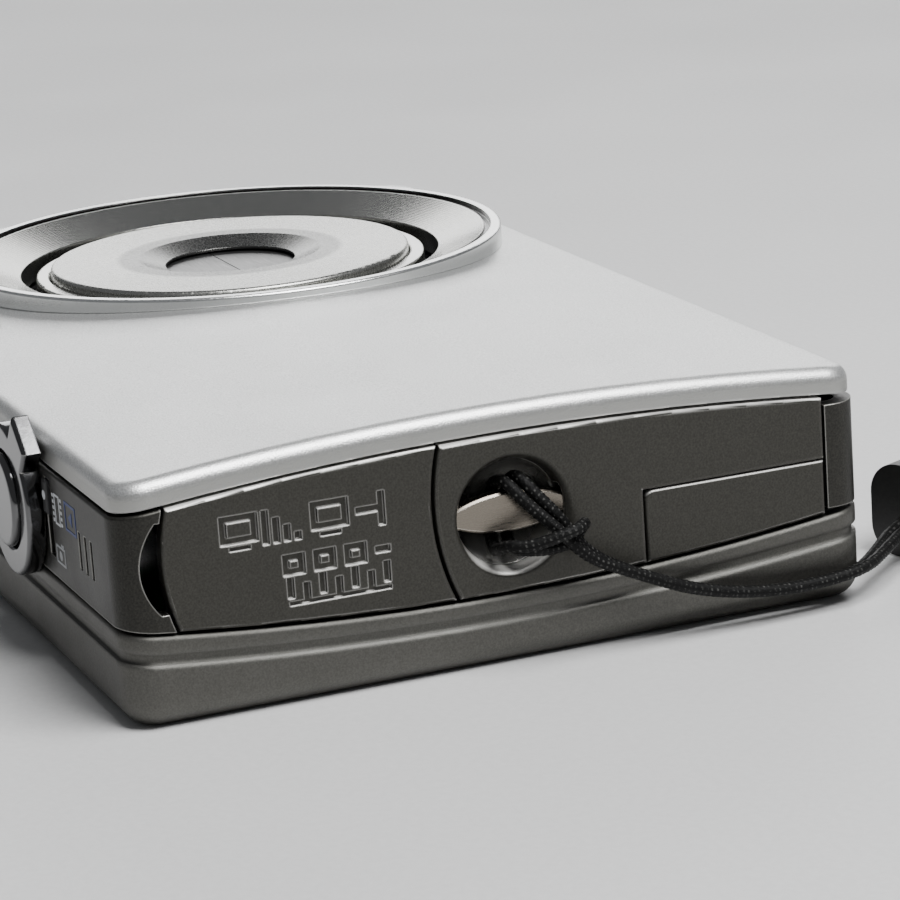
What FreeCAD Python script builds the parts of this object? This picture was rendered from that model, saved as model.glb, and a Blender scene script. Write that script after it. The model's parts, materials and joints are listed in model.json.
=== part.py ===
import FreeCAD, Part
import math
import os
import re

# A slim compact digital camera lying on its back. The frame's origin is the middle of the
# flat back: +X runs from the strap end to the lens end, +Y to the shutter side, +Z out of the lens.
# All sizes are millimetres.

Vector = FreeCAD.Vector
doc = FreeCAD.newDocument("CompactCamera")
sheet = doc.addObject("Spreadsheet::Sheet", "Dims")

SIZES = {
    # outer case
    "BodyLength": 87.0, "BodyHeight": 55.0, "FaceZ": 18.35, "DomeRadius": 247.0,
    "FrontSeamZ": 16.43, "FrontSeamRadius": 241.0, "BackSeamZ": 5.1, "BackSeamRadius": 204.0,
    "SeamGap": 0.24, "Wall": 1.2, "CornerRadius": 2.4, "RimRadius": 1.1, "FootRadius": 1.9,
    "FrontInset": 0.2, "BandInset": 0.0, "EdgeBreak": 0.22, "GrooveZ": 3.55, "GrooveRise": 236.0,
    "GrooveWidth": 0.8, "GrooveDepth": 0.3,
    # strap end
    "CoverThick": 1.1, "CoverArc": 13.8, "CoverArcY": 10.8, "CoverArcZ": 11.4,
    "HingeArc": 16.25, "HingeArcY": -11.05, "HingeArcZ": 11.9, "NotchLow": 7.9, "NotchHigh": 14.2,
    "NotchY": 26.0,
    "NotchArc": 4.7, "PanelY": -24.3, "FlapY": -10.4, "FlapTop": 10.6, "FlapThick": 1.0,
    "CupY": -0.5, "CupZ": 10.6, "CupSphere": 4.05, "CupX": -43.8, "CupOuter": 4.75, "CupBack": -39.2,
    "BarFront": -43.0, "BarThick": 0.95, "BarLow": 9.3, "BarTop": 12.15, "BarHalf": 4.5,
    "BarCrown": 11.0, "EngraveDepth": 0.3, "StrokeWidth": 0.5,
    # battery door on the lower side
    "DoorEnd": -3.9, "DoorLow": 7.05, "DoorTop": 14.55, "DoorWrapY": -24.45, "DoorPin": 0.25,
    "DoorAxisY": -26.9, "DoorBarrel": 0.6,
    # shutter side
    "ShutterX": -20.9, "ShutterZ": 11.3, "ShutterRadius": 3.4, "LeverRadius": 5.5,
    "LeverFoot": 27.6, "LeverTop": 28.9, "SleeveRadius": 3.25, "StemRadius": 1.6,
    "SwitchX": -27.35, "SwitchWidth": 1.0, "SwitchZ": 12.8, "SwitchLong": 2.4,
    "SwitchTravel": 3.0, "SwitchTop": 27.8,
    "TabAngle": -40.0, "TabRoot": 4.0, "TabReach": 7.3, "TabWidth": 3.4,
    "PowerX": -8.0, "PowerRadius": 1.9,
    # lens
    "LensX": 19.8, "LensY": -2.15, "RingRadius": 22.7, "RingTop": 19.05, "RingLand": 21.9,
    "RingBore": 17.4, "RingInnerZ": 17.4,
    "RingGroove": 21.3, "RingGrooveZ": 18.55, "ShellHole": 21.5, "BaseRadius": 18.5, "BaseFloor": 4.4,
    "BaseTop": 15.2, "CamRadius": 17.3, "OuterBarrel": 16.2, "InnerBarrel": 14.9,
    "BarrelWall": 1.2, "TubeGap": 0.1, "BarrelLow": 5.3, "OuterTop": 17.2, "InnerTop": 17.9,
    "Aperture": 5.4, "BladeRadius": 6.8, "BladePivot": 11.0, "BladeLow": 16.3, "BladeThick": 0.5,
    "PivotPin": 0.6, "CoverFaceLow": 17.0,
    # back
    "LcdLow": -4.5, "LcdHigh": 41.0, "LcdBottom": -20.0, "LcdTop": 19.0, "LcdThick": 0.7,
    "KeyRadius": 2.6, "KeyFace": 0.25, "KeyTop": 1.85, "KeyFlange": 0.5, "PadX": -24.5,
    "PadY": -4.0, "PadRadius": 9.0, "SetRadius": 3.9,
    # inside
    "BatteryLow": -33.9, "BatteryHigh": -3.4, "BatteryFloor": 7.0, "BatteryThick": 5.1,
    "BatteryY": -25.2, "BatteryLong": 37.2, "CapacitorRadius": 3.4, "CapacitorY": 17.4,
    "TripodX": 31.0, "TripodZ": 11.15, "TripodBore": 2.55, "TripodOuter": 3.35,
    "TripodDeep": 6.0, "ScrewRadius": 1.1,
    # strap
    "CordRadius": 0.43, "WristRadius": 1.6, "ConnectorLong": 10.0, "ConnectorWide": 7.2,
    "ConnectorTall": 7.0, "ConnectorHeading": -65.0,
}

for row, (alias, number) in enumerate(SIZES.items(), start=1):
    sheet.set(f"A{row}", alias)
    sheet.set(f"B{row}", str(number))
    sheet.setAlias(f"B{row}", alias)
doc.recompute()

NODES = {}
TURN_X = FreeCAD.Rotation(Vector(0, 1, 0), 90)
TURN_Y = FreeCAD.Rotation(Vector(1, 0, 0), -90)
TURNS = {"x": TURN_X, "y": TURN_Y, "z": FreeCAD.Rotation()}


def size(alias):
    """A driving dimension's number."""
    return float(sheet.get(alias))


def formula(text):
    """Write a size such as 'Wall + 1' as an expression on the sheet's cells."""
    return re.sub(r"\b([A-Z][A-Za-z]+)\b", r"Dims.\1", str(text))


def total(text):
    """The number that a sum or difference of aliases and numbers stands for."""
    result, sign = 0.0, 1.0
    for word in text.split():
        if word in "+-":
            sign = 1.0 if word == "+" else -1.0
        else:
            result += sign * (size(word) if word[0].isalpha() else float(word))
    return result


def bind(obj, **sizes):
    for prop, text in sizes.items():
        obj.setExpression(prop, formula(text))
    return obj


def place(obj, x, y, z, axis="z"):
    obj.Placement = FreeCAD.Placement(Vector(), TURNS[axis])
    for letter, text in zip("xyz", (x, y, z)):
        obj.setExpression(f"Placement.Base.{letter}", formula(text))
    return obj


def box(name, x, y, z):
    """A box from low to high along each axis; each is a pair of formulas."""
    obj = doc.addObject("Part::Box", name)
    bind(obj, Length=f"({x[1]}) - ({x[0]})", Width=f"({y[1]}) - ({y[0]})")
    bind(obj, Height=f"({z[1]}) - ({z[0]})")
    return place(obj, x[0], y[0], z[0])


def cylinder(name, radius, low, high, at=("0", "0"), axis="z"):
    """A cylinder from low to high along its axis; at gives its two other coordinates."""
    obj = doc.addObject("Part::Cylinder", name)
    bind(obj, Radius=radius, Height=f"({high}) - ({low})")
    spot = {"x": (low, at[0], at[1]), "y": (at[0], low, at[1]), "z": (at[0], at[1], low)}[axis]
    return place(obj, *spot, axis=axis)


def cone(name, radius_low, radius_high, low, high, at=("0", "0")):
    obj = doc.addObject("Part::Cone", name)
    bind(obj, Radius1=radius_low, Radius2=radius_high, Height=f"({high}) - ({low})")
    return place(obj, at[0], at[1], low)


def sphere(name, radius, x, y, z):
    return place(bind(doc.addObject("Part::Sphere", name), Radius=radius), x, y, z)


def cut(name, base, *tools):
    for index, tool in enumerate(tools):
        last = index == len(tools) - 1
        step = doc.addObject("Part::Cut", name if last else f"{name}_cut{index}")
        step.Base, step.Tool = base, tool
        base = step
    return base


def fuse(name, *shapes):
    obj = doc.addObject("Part::MultiFuse", name)
    obj.Shapes = list(shapes)
    return obj


def common(name, *shapes):
    obj = doc.addObject("Part::MultiCommon", name)
    obj.Shapes = list(shapes)
    return obj


def group(name, *shapes):
    """Separate solids that share one node."""
    obj = doc.addObject("Part::Compound", name)
    obj.Links = list(shapes)
    return obj


def edges_where(obj, test):
    """Numbers of the edges whose ends and middle all pass the test."""
    doc.recompute()
    found = []
    for number, edge in enumerate(obj.Shape.Edges, start=1):
        low, high = edge.ParameterRange
        points = [edge.valueAt(low + (high - low) * part) for part in (0.02, 0.5, 0.98)]
        if all(test(point) for point in points):
            found.append(number)
    return found


def rounded(name, base, radius, test, kind="Part::Fillet"):
    """Round, or with kind Part::Chamfer bevel, the edges that pass the test."""
    numbers = edges_where(base, test)
    obj = doc.addObject(kind, name)
    obj.Base = base
    obj.Edges = [(number, radius, radius) for number in numbers]
    return obj


def rounded_box(name, x, y, z, radius):
    """A box whose four upright edges are rounded."""
    plain = box(f"{name}_box", x, y, z)
    doc.recompute()
    centre = plain.Shape.BoundBox.Center
    reach = plain.Shape.BoundBox

    def on_corner(point):
        at_x = abs(abs(point.x - centre.x) - reach.XLength / 2) < 1e-6
        return at_x and abs(abs(point.y - centre.y) - reach.YLength / 2) < 1e-6

    return rounded(name, plain, radius, on_corner)


def node(name, obj):
    obj.Label = name
    NODES[name] = obj
    return obj


def lens_tube(name, outer, inner, low, high):
    at = ("LensX", "LensY")
    solid = cylinder(f"{name}_outer", outer, low, high, at)
    bore = cylinder(f"{name}_bore", inner, f"{low} - 1", f"{high} + 1", at)
    return cut(name, solid, bore)


# ---------------------------------------------------------------- case blanks

HALF_X = "BodyLength / 2"
HALF_Y = "BodyHeight / 2"
SCREW_Y = ("-15", "15")


def plan(name, inset, low, high):
    """The case's plan shape, pulled in by inset, from low to high."""
    corner = max(size("CornerRadius") - total(inset), 0.6)
    x = (f"-{HALF_X} + {inset}", f"{HALF_X} - ({inset})")
    y = (f"-{HALF_Y} + {inset}", f"{HALF_Y} - ({inset})")
    return rounded_box(name, x, y, (low, high), corner)


def dome(name, offset="0"):
    """Everything under the front face's curve, lowered by offset."""
    return cylinder(name, f"DomeRadius - ({offset})", "-60", "60", ("0", "FaceZ - DomeRadius"), "x")


def front_seam(name, offset="0"):
    """Everything under the seam between the front shell and the side band."""
    centre = ("0", "FrontSeamZ - FrontSeamRadius")
    return cylinder(name, f"FrontSeamRadius + ({offset})", "-60", "60", centre, "x")


def back_seam(name, offset="0"):
    """Everything over the seam between the side band and the back shell."""
    centre = ("0", "BackSeamZ + BackSeamRadius")
    return cylinder(name, f"BackSeamRadius + ({offset})", "-60", "60", centre, "x")


# ---------------------------------------------------------------- front shell

def pin_seat(name):
    """Room in both shells for the ends of the battery door's pin."""
    return cylinder(name, "DoorPin + 0.02", "DoorLow - 0.75", "DoorTop + 0.75",
                    ("DoorEnd", "DoorAxisY"))


def make_front_shell():
    blank = common("front_blank", plan("front_plan", "FrontInset", "10", "FaceZ + 1"), dome("front_dome"))
    blank = cut("front_slab", blank, front_seam("front_under", "SeamGap / 2"))
    dome_centre = size("FaceZ") - size("DomeRadius")

    def on_rim(point):
        top = dome_centre + math.sqrt(size("DomeRadius") ** 2 - point.y**2)
        return abs(point.z - top) < 0.01

    shell = rounded("front_rounded", blank, size("RimRadius"), on_rim)
    room = common("front_room", plan("front_inner", "Wall", "9", "FaceZ + 1"),
                  dome("front_inner_dome", "Wall"))
    hole = cylinder("front_lens_hole", "ShellHole", "10", "25", ("LensX", "LensY"))
    flash = box("front_flash_hole", ("6.5", "14.5"), ("21.2", "24.8"), ("10", "25"))
    lamp = cylinder("front_lamp_hole", "1.3", "10", "25", ("38.6", "22.4"))
    mic = cylinder("front_mic_hole", "0.45", "10", "25", ("38.6", "-22.6"))
    node("front_shell", cut("front_shell", shell, room, hole, flash, lamp, mic,
                            pin_seat("front_pin_seat")))


# ---------------------------------------------------------------- back shell

KEYS = {
    "playback_button": ("-15.0", "14.5"),
    "menu_button": ("-34.0", "-19.5"),
    "display_button": ("-15.0", "-19.5"),
}


def make_back_shell():
    block = cut("back_block", plan("back_plan", "0", "0", "9"),
                back_seam("back_over", "SeamGap / 2"))

    def on_foot(point):
        return abs(point.z) < 1e-6

    def on_rim(point):
        radius = size("BackSeamRadius") + size("SeamGap") / 2
        top = size("BackSeamZ") + size("BackSeamRadius") - math.sqrt(radius**2 - point.y**2)
        return abs(point.z - top) < 0.01

    block = rounded("back_rim", block, 0.25, on_rim)
    foot = rounded("back_foot", block, size("FootRadius"), on_foot)
    # a shallow groove follows the seam round the case
    low = cylinder("groove_low", "GrooveRise + GrooveWidth / 2", "-60", "60",
                   ("0", "GrooveZ + GrooveRise"), "x")
    high = cylinder("groove_high", "GrooveRise - GrooveWidth / 2", "-60", "60",
                    ("0", "GrooveZ + GrooveRise"), "x")
    slab = cut("groove_slab", common("groove_part", plan("groove_plan", "0", "-1", "9"), low), high)
    groove = cut("groove", slab, plan("groove_core", "GrooveDepth", "-2", "10"))
    room = plan("back_room", "Wall + 0.3", "Wall", "12")
    window = box("window_seat", ("LcdLow - 0.1", "LcdHigh + 0.1"),
                 ("LcdBottom - 0.1", "LcdTop + 0.1"), ("-1", "LcdThick + 0.05"))
    view = box("window_view", ("LcdLow + 1.2", "LcdHigh - 1.2"),
               ("LcdBottom + 1.2", "LcdTop - 1.2"), ("-1", "3"))
    holes = [cylinder(f"{key}_hole", "KeyRadius + 0.12", "-1", "3", spot)
             for key, spot in KEYS.items()]
    holes.append(cylinder("pad_hole", "PadRadius + 0.15", "-1", "3", ("PadX", "PadY")))
    holes.append(pin_seat("back_pin_seat"))
    node("back_shell", cut("back_shell", foot, groove, room, window, view, *holes))


# ---------------------------------------------------------------- side band and strap end

def on_front_seam(point):
    """On the band's side of the front seam."""
    radius = size("FrontSeamRadius") - size("SeamGap") / 2
    top = size("FrontSeamZ") - size("FrontSeamRadius") + math.sqrt(radius**2 - point.y**2)
    return abs(point.z - top) < 0.01


def band_ring(name):
    """The wall between the two seams, its front rim rounded."""
    slab = common(f"{name}_slab", plan(f"{name}_plan", "BandInset", "4", "18"),
                  front_seam(f"{name}_top", "-SeamGap / 2"),
                  back_seam(f"{name}_foot", "-SeamGap / 2"))
    slab = rounded(f"{name}_rounded", slab, size("EdgeBreak"), on_front_seam)
    return cut(name, slab, plan(f"{name}_core", "BandInset + Wall", "3", "19"))


def cover_arc(name, grow):
    return cylinder(name, f"CoverArc + ({grow})", "-50", "-41.5", ("CoverArcY", "CoverArcZ"), "x")


def hinge_arc(name, grow):
    return cylinder(name, f"HingeArc + ({grow})", "-50", "-40", ("HingeArcY", "HingeArcZ"), "x")


def end_slab(name, low, high, thick):
    """A plate in the strap end's outer face, trimmed to the two seams."""
    outer = f"-{HALF_X} + BandInset"
    plate = box(f"{name}_plate", (outer, f"{outer} + {thick}"), (low, high), ("3", "18"))
    return common(name, plate, front_seam(f"{name}_top", "-SeamGap / 2"),
                  back_seam(f"{name}_foot", "-SeamGap / 2"))


def on_end_face(point):
    return abs(point.x + size("BodyLength") / 2 - size("BandInset")) < 1e-6


def make_side_band():
    ring = band_ring("band")
    below = box("band_end_cut", ("-50", "-41.5"), ("-30", "CoverArcY"), ("0", "20"))
    cover = cover_arc("band_cover_cut", "SeamGap / 2")
    notch = common("band_notch",
                   box("notch_box", ("-50", "-41.5"), ("20", "NotchY"), ("NotchLow", "NotchHigh")),
                   cylinder("notch_arc", "NotchArc", "-50", "-41.5",
                            ("NotchY - NotchArc", "NotchLow / 2 + NotchHigh / 2"), "x"))
    door = box("band_door_cut", ("-50", "DoorEnd + 0.8"), ("-30", "DoorWrapY - 0.15"), ("0", "20"))
    hub = cylinder("band_hub_hole", "SleeveRadius + 0.1", "24", "30",
                   ("ShutterX", "ShutterZ"), "y")
    power = cylinder("band_power_hole", "PowerRadius + 0.1", "24", "30",
                     ("PowerX", "ShutterZ"), "y")
    slot = box("band_switch_slot", ("SwitchX - 0.6", "SwitchX + 0.6"), ("24", "30"),
               ("SwitchZ - SwitchLong / 2 - SwitchTravel - 0.1", "SwitchZ + SwitchLong / 2 + 0.1"))
    tripod = cylinder("band_tripod_hole", "TripodOuter", "-30", "-24", ("TripodX", "TripodZ"), "y")
    slots = [box(f"band_speaker_slot{index}", (f"-37.6 + {index} * 1.4", f"-37.0 + {index} * 1.4"),
                 ("24", "30"), ("9.25", "11.95")) for index in range(3)]
    screws = [cylinder(f"band_screw_hole{index}", "ScrewRadius + 0.05", "40", "45",
                       (y, "ShutterZ"), "x") for index, y in enumerate(SCREW_Y)]
    node("side_band", cut("side_band", ring, below, cover, notch, door, hub, power, slot,
                          tripod, *slots, *screws))


def stroke(index, y, z, across, up):
    """One engraved bar on the terminal cover, given by its low corner and its size."""
    outer = f"-{HALF_X} + BandInset"
    return box(f"stroke{index}", (f"{outer} - 1", f"{outer} + EngraveDepth"),
               (f"{y}", f"{y} + {across}"), (f"{z}", f"{z} + {up}"))


def frame_strokes(y, z, across, up):
    """The four bars of an open rectangle."""
    width = size("StrokeWidth")
    yield (y, z, across, width)
    yield (y, z + up - width, across, width)
    yield (y, z, width, up)
    yield (y + across - width, z, width, up)


def pictogram_strokes():
    """Plain marks where the cover says which leads fit behind it: screens and signal bars."""
    width = size("StrokeWidth")
    for y in (17.7, 11.3):
        yield from frame_strokes(y, 11.9, 2.7, 2.0)
        yield (y + 0.6, 11.45, 1.5, 0.3)
    for step in range(4):
        yield (14.7 + 0.75 * step, 11.5, width, 0.6 + 0.6 * step)
    yield (8.7, 12.5, 2.1, width)
    yield (8.7, 11.5, width, 2.4)
    for column in range(3):
        yield from frame_strokes(14.6 - 2.2 * column, 9.1, 1.6, 1.5)
    yield (8.5, 9.6, 1.1, width)
    for column in range(7):
        yield (8.6 + 1.15 * column, 7.0 if column % 2 else 7.5, width, 1.5)
    yield (8.6, 7.0, 7.3, 0.3)


def make_terminal_cover():
    plate = end_slab("cover_slab", "0", "26", "CoverThick")
    plate = common("cover_arched", plate, cover_arc("cover_edge", "-SeamGap / 2"))
    plate = cut("cover_blank", plate, hinge_arc("cover_hinge_edge", "SeamGap / 2"))
    plate = rounded("cover_round", plate, size("EdgeBreak"), on_end_face)
    marks = [stroke(index, *bar) for index, bar in enumerate(pictogram_strokes())]
    node("terminal_cover", cut("terminal_cover", plate, group("cover_marks", *marks)))


def bar_pocket(name):
    """Room for the strap bar's ends."""
    return box(name, ("BarFront - 0.02", "BarFront + BarThick + 0.02"),
               ("CupY - BarHalf - 0.02", "CupY + BarHalf + 0.02"), ("BarLow - 0.02", "BarTop + 0.02"))


def make_end_panel():
    plate = end_slab("panel_slab", "PanelY", "8", "Wall")
    plate = common("panel_arched", plate, hinge_arc("panel_edge", "-SeamGap / 2"))
    flap = box("panel_flap_cut", ("-50", "-40"), ("PanelY - 1", "FlapY + 0.1"),
               ("0", "FlapTop + 0.1"))
    plate = rounded("panel_round", cut("panel_blank", plate, flap), size("EdgeBreak"), on_end_face)
    bowl = sphere("panel_bowl", "CupSphere", "CupX", "CupY", "CupZ")
    hollow = cut("panel_bored", plate, bowl)

    def on_bowl_rim(point):
        reach = math.hypot(point.y - size("CupY"), point.z - size("CupZ"))
        return on_end_face(point) and reach < size("CupSphere") + 0.1

    soft = rounded("panel_soft_rim", hollow, 0.45, on_bowl_rim)
    node("strap_end_panel", cut("strap_end_panel", soft, bar_pocket("panel_pocket")))


def make_cable_flap():
    plate = end_slab("flap_slab", "PanelY + 0.05", "FlapY", "FlapThick")
    low = box("flap_room", ("-50", "-40"), ("-30", "0"), ("0", "FlapTop"))
    blank = common("flap_blank", plate, low)

    def on_top_corner(point):
        return abs(point.y - size("FlapY")) < 1e-6 and abs(point.z - size("FlapTop")) < 1e-6

    corner = rounded("flap_corner", blank, 0.7, on_top_corner)
    node("dc_cable_flap", rounded("dc_cable_flap", corner, size("EdgeBreak"), on_end_face))


def make_battery_door():
    ring = band_ring("door_band")
    span = box("door_span", ("-50", "DoorEnd"), ("-30", "DoorWrapY"), ("DoorLow", "DoorTop"))
    barrel = cylinder("door_barrel", "DoorBarrel", "DoorLow", "DoorTop", ("DoorEnd", "DoorAxisY"))
    bore = cylinder("door_bore", "DoorPin + 0.05", "0", "20", ("DoorEnd", "DoorAxisY"))
    whole = fuse("door_whole", common("door_plate", ring, span), barrel)
    node("battery_door", cut("battery_door", whole, bore))
    node("battery_door_pin", cylinder("battery_door_pin", "DoorPin", "DoorLow - 0.7",
                                      "DoorTop + 0.7", ("DoorEnd", "DoorAxisY")))


def make_strap_mount():
    cup = cylinder("cup_body", "CupOuter", f"-{HALF_X} + BandInset + Wall + 0.03", "CupBack",
                   ("CupY", "CupZ"), "x")
    bowl = sphere("cup_bowl", "CupSphere", "CupX", "CupY", "CupZ")
    node("strap_cup", cut("strap_cup", cup, bowl, bar_pocket("cup_pocket")))
    bar = box("bar_blank", ("BarFront", "BarFront + BarThick"), ("CupY - BarHalf", "CupY + BarHalf"),
              ("BarLow", "BarTop"))
    crown = cylinder("bar_crown", "BarCrown", "-50", "-30", ("CupY", "BarTop - BarCrown"), "x")
    belly = cylinder("bar_belly", "BarCrown", "-50", "-30", ("CupY", "BarLow + BarCrown"), "x")
    shaped = common("bar_shaped", bar, crown, belly)

    def on_bar_face(point):
        return abs(point.x - size("BarFront")) < 1e-6

    node("strap_bar", rounded("strap_bar", shaped, 0.16, on_bar_face, "Part::Chamfer"))


# ---------------------------------------------------------------- controls on the shutter side

def make_zoom_lever():
    at = ("ShutterX", "ShutterZ")
    ring = cylinder("lever_ring", "LeverRadius", "LeverFoot", "LeverTop", at, "y")
    tab = bind(doc.addObject("Part::Box", "lever_tab"), Length="TabWidth",
               Width="LeverTop - LeverFoot", Height="TabReach - TabRoot")
    root = Vector(-size("TabWidth") / 2, size("LeverFoot"), size("TabRoot"))
    aside = FreeCAD.Rotation(Vector(0, 1, 0), size("TabAngle"))
    hub = FreeCAD.Placement(Vector(size("ShutterX"), 0, size("ShutterZ")), aside)
    tab.Placement = hub * FreeCAD.Placement(root, FreeCAD.Rotation())
    sleeve = cylinder("lever_sleeve", "SleeveRadius", "24.8", "LeverFoot + 0.2", at, "y")
    whole = fuse("lever_whole", ring, tab, sleeve)
    well = cylinder("lever_well", "ShutterRadius + 0.15", "LeverFoot + 0.45", "31", at, "y")
    bore = cylinder("lever_bore", "StemRadius + 0.1", "20", "31", at, "y")
    hollow = cut("lever_hollow", whole, well, bore)

    def on_top(point):
        return abs(point.y - size("LeverTop")) < 1e-6

    node("zoom_lever", rounded("zoom_lever", hollow, 0.3, on_top))


def press_cap(name, radius, low, high, stem, x, z, crown):
    """A round button whose axis is along Y, with a crowned top and a stem."""
    cap = cylinder(f"{name}_cap", radius, low, high, (x, z), "y")

    def on_top(point):
        return abs(point.y - total(high)) < 1e-6

    soft = rounded(f"{name}_soft", cap, crown, on_top)
    rod = cylinder(f"{name}_stem", "StemRadius", stem, f"{low} + 0.1", (x, z), "y")
    return node(name, fuse(name, soft, rod))


def make_mode_switch():
    x = ("SwitchX - SwitchWidth / 2", "SwitchX + SwitchWidth / 2")
    z = ("SwitchZ - SwitchLong / 2", "SwitchZ + SwitchLong / 2")
    knob = box("switch_knob", x, ("25.6", "SwitchTop"), z)

    def on_top(point):
        return abs(point.y - size("SwitchTop")) < 1e-6

    soft = rounded("switch_soft", knob, 0.15, on_top)
    foot = box("switch_foot", ("SwitchX - 1.0", "SwitchX + 1.0"), ("25.2", "25.95"),
               ("SwitchZ - 1.9", "SwitchZ + 1.5"))
    node("mode_switch", fuse("mode_switch", soft, foot))


# ---------------------------------------------------------------- lens

def make_lens_ring():
    at = ("LensX", "LensY")
    over = cut("ring_over", cylinder("ring_flange", "RingRadius", "15.5", "RingTop", at),
               dome("ring_seat", "-0.03"))
    neck = cylinder("ring_neck", "ShellHole - 0.1", "15.6", "RingTop", at)
    blank = fuse("ring_blank", over, neck)
    slope = cone("ring_slope", "RingBore", "RingLand", "RingInnerZ", "RingTop + 0.001", at)
    bore = cylinder("ring_bore", "RingBore", "10", "RingInnerZ + 0.01", at)
    groove = cut("ring_groove",
                 cylinder("groove_outer", "RingGroove + 0.55", "RingGrooveZ", "25", at),
                 cylinder("groove_inner", "RingGroove", "RingGrooveZ - 1", "26", at))
    hollow = cut("ring_hollow", blank, slope, bore, groove)

    def on_crest(point):
        return abs(point.z - size("RingTop")) < 1e-6

    node("lens_ring", rounded("lens_ring", hollow, 0.22, on_crest))


def make_lens_base():
    at = ("LensX", "LensY")
    tube = cylinder("base_tube", "BaseRadius", "BaseFloor", "BaseTop", at)
    room = cylinder("base_room", "CamRadius + TubeGap", "BarrelLow - 0.15", "30", at)
    port = box("base_port", ("LensX - 5", "LensX + 5"), ("LensY - 4", "LensY + 4"), ("0", "9"))
    node("lens_base", cut("lens_base", tube, room, port))
    node("cam_ring", lens_tube("cam_ring", "CamRadius", "OuterBarrel + TubeGap",
                               "BarrelLow", "15.0"))


def make_barrels():
    outer = lens_tube("outer_tube", "OuterBarrel", "OuterBarrel - BarrelWall",
                      "BarrelLow", "OuterTop")

    def on_outer_top(point):
        return abs(point.z - size("OuterTop")) < 1e-6

    node("outer_barrel", rounded("outer_barrel", outer, 0.25, on_outer_top))
    node("inner_barrel", lens_tube("inner_barrel", "InnerBarrel", "InnerBarrel - BarrelWall",
                                   "BarrelLow + 0.2", "CoverFaceLow"))
    at = ("LensX", "LensY")
    face = cylinder("face_disc", "InnerBarrel", "CoverFaceLow", "InnerTop", at)
    mouth = cone("face_mouth", "Aperture", "Aperture + 2.2", "CoverFaceLow + 0.2",
                 "InnerTop + 0.01", at)
    hole = cylinder("face_hole", "Aperture", "10", "20", at)
    dished = cut("face_dished", face, mouth, hole)

    def on_face_rim(point):
        reach = math.hypot(point.x - size("LensX"), point.y - size("LensY"))
        return abs(point.z - size("InnerTop")) < 1e-6 and reach > size("InnerBarrel") - 0.5

    node("barrier_cover", rounded("barrier_cover", dished, 0.35, on_face_rim))


def make_blades():
    """Two half-round blades meet on the lens axis; each turns on its own pin."""
    at = ("LensX", "LensY")
    for name, side in (("barrier_blade_upper", 1), ("barrier_blade_lower", -1)):
        disc = cylinder(f"{name}_disc", "BladeRadius", "BladeLow", "BladeLow + BladeThick", at)
        if side > 0:
            half = ("LensY + 0.05", "LensY + 20")
            arm_x = ("LensX - BladePivot", "LensX - 4")
            arm_y = ("LensY + 0.05", "LensY + 2.2")
        else:
            half = ("LensY - 20", "LensY - 0.05")
            arm_x = ("LensX + 4", "LensX + BladePivot")
            arm_y = ("LensY - 2.2", "LensY - 0.05")
        keep = box(f"{name}_keep", ("LensX - 20", "LensX + 20"), half, ("10", "20"))
        arm = box(f"{name}_arm", arm_x, arm_y, ("BladeLow", "BladeLow + BladeThick"))
        pivot = (f"LensX - {side} * BladePivot", "LensY")
        hub = cylinder(f"{name}_hub", "1.3", "BladeLow", "BladeLow + BladeThick", pivot)
        bore = cylinder(f"{name}_bore", "PivotPin + 0.05", "10", "20", pivot)
        whole = fuse(f"{name}_whole", common(f"{name}_half", disc, keep), arm, hub)
        node(name, cut(name, whole, bore))
    deck = lens_tube("deck_disc", "InnerBarrel - BarrelWall", "BladeRadius", "15.5",
                     "BladeLow - 0.1")
    pins = [cylinder(f"deck_pin{index}", "PivotPin", "15.6", "CoverFaceLow - 0.05",
                     (f"LensX + {side} * BladePivot", "LensY"))
            for index, side in enumerate((-1, 1))]
    node("barrier_base", fuse("barrier_base", deck, *pins))


def lens_element(name, radius, low, high, bulge):
    """A glass disc with a domed front, from low to high at its middle."""
    at = ("LensX", "LensY")
    disc = cylinder(f"{name}_disc", radius, low, high, at)
    ball = sphere(f"{name}_ball", bulge, "LensX", "LensY", f"{high} - ({bulge})")
    return node(name, common(name, disc, ball))


def make_optics():
    inside = "InnerBarrel - BarrelWall"
    lens_element("front_lens", "6.5", "12.2", "15.2", "13")
    node("front_lens_cell", lens_tube("front_lens_cell", inside, "6.52", "12.2", "15.2"))
    shutter = lens_tube("shutter_unit", inside, "3.0", "9.6", "11.6")
    node("shutter_unit", shutter)
    lens_element("rear_lens", "4.5", "6.6", "9.0", "9")
    node("rear_lens_cell", lens_tube("rear_lens_cell", inside, "4.52", "6.9", "8.9"))
    node("image_sensor", box("image_sensor", ("LensX - 4.6", "LensX + 4.6"),
                             ("LensY - 3.7", "LensY + 3.7"), ("4.35", "5.1")))
    node("sensor_board", box("sensor_board", ("LensX - 8", "LensX + 8"),
                             ("LensY - 7", "LensY + 7"), ("3.85", "4.3")))
    motor = cylinder("motor_can", "3.0", "5.4", "13.6", ("38.2", "-20.0"))
    gearbox = box("motor_gearbox", ("32.6", "41.4"), ("-23.4", "-17.4"), ("4.5", "5.5"))
    node("zoom_drive", fuse("zoom_drive", motor, gearbox))


# ---------------------------------------------------------------- flash and lamp

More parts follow.
